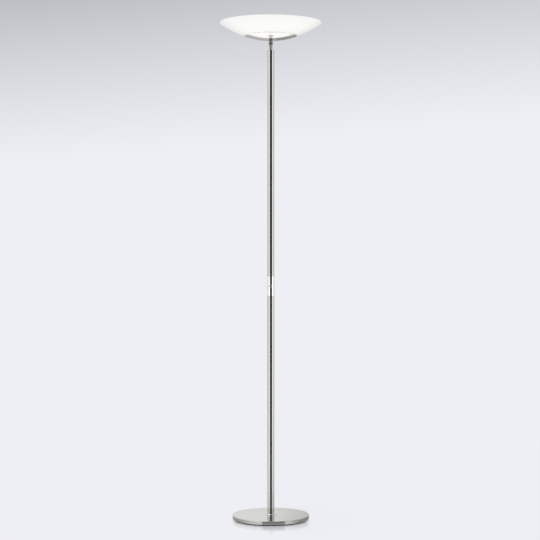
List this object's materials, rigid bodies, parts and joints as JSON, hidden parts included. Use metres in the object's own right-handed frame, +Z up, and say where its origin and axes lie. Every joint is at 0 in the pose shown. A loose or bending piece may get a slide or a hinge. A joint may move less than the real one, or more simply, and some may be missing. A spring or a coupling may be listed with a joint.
{
  "type": "uplight floor lamp",
  "caption": "Free-standing uplight floor lamp: flat round weighted base, slim straight pole with a push-button dimmer, and a shallow opal glass bowl on a polished dish",
  "frame": {"origin": "middle of the foot ring on the floor, on the pole's axis", "axes": "+Z up along the pole, -Y to the front where the dimmer button is, +Y to the cord inlet"},
  "size_m": [0.372, 0.372, 1.82],
  "materials": {
    "satin_nickel": "finely brushed satin nickel plate",
    "polished_nickel": "mirror polished nickel chrome plate",
    "opal_glass": "white opal glass, glossy, with a fire polished rim",
    "opal_plastic": "opal plastic, soft gloss",
    "cast_iron": "cast iron, primed grey",
    "black_plastic": "fine grained black plastic",
    "black_rubber": "matt black rubber",
    "clear_silicone": "translucent silicone rubber",
    "zinc_steel": "bright zinc plated steel",
    "brass": "turned brass",
    "aluminium": "die cast aluminium, as cast",
    "circuit_board": "green laminate",
    "white_board": "white solder resist",
    "light_chip": "light chips with a yellow phosphor face",
    "board_component": "moulded component bodies",
    "driver_case": "white heat shrunk case",
    "lead_sheath": "round plastic sheathed lead"
  },
  "bodies": {
    "lamp": {"base_bolt": "zinc_steel", "base_cover": "satin_nickel", "base_washer": "zinc_steel", "base_weight": "cast_iron", "board_connector": "white_board", "board_parts": "board_component", "board_screws": "zinc_steel", "board_terminals": "board_component", "bottom_plate": "black_plastic", "bottom_screws": "zinc_steel", "button_guide": "black_plastic", "button_spring": "zinc_steel", "clamp_nut": "brass", "clamp_plate": "zinc_steel", "diffuser": "opal_plastic", "dimmer_board": "circuit_board", "dimmer_carrier": "black_plastic", "dimmer_sleeve": "polished_nickel", "dish_seal": "clear_silicone", "driver_lead": "lead_sheath", "foot_collar": "polished_nickel", "foot_plug": "zinc_steel", "foot_ring": "black_rubber", "glass_bowl": "opal_glass", "glass_dish": "polished_nickel", "glass_seat": "clear_silicone", "glass_washer": "clear_silicone", "head_nut": "brass", "heat_sink": "aluminium", "inlet_bush": "black_plastic", "led_driver": "driver_case", "light_board": "white_board", "light_chips": "light_chip", "light_lead": "lead_sheath", "lower_insert": "zinc_steel", "lower_nipple": "brass", "lower_tube": "satin_nickel", "mains_lead": "lead_sheath", "neck_collar": "polished_nickel", "neck_tube": "polished_nickel", "push_switch": "board_component", "threaded_tube": "zinc_steel", "tube_cap": "satin_nickel", "upper_insert": "zinc_steel", "upper_nipple": "brass", "upper_tube": "satin_nickel"},
    "button": {"dimmer_button": "satin_nickel", "switch_plunger": "board_component"}
  },
  "joints": [
    {"name": "button_press", "type": "slide", "parent": "lamp", "child": "button", "axis": [0, 1, 0], "range_m": [0, 0.001], "stiffness_N_per_m": 600, "springref_m": -0.002, "deforming": ["button_spring"]}
  ]
}
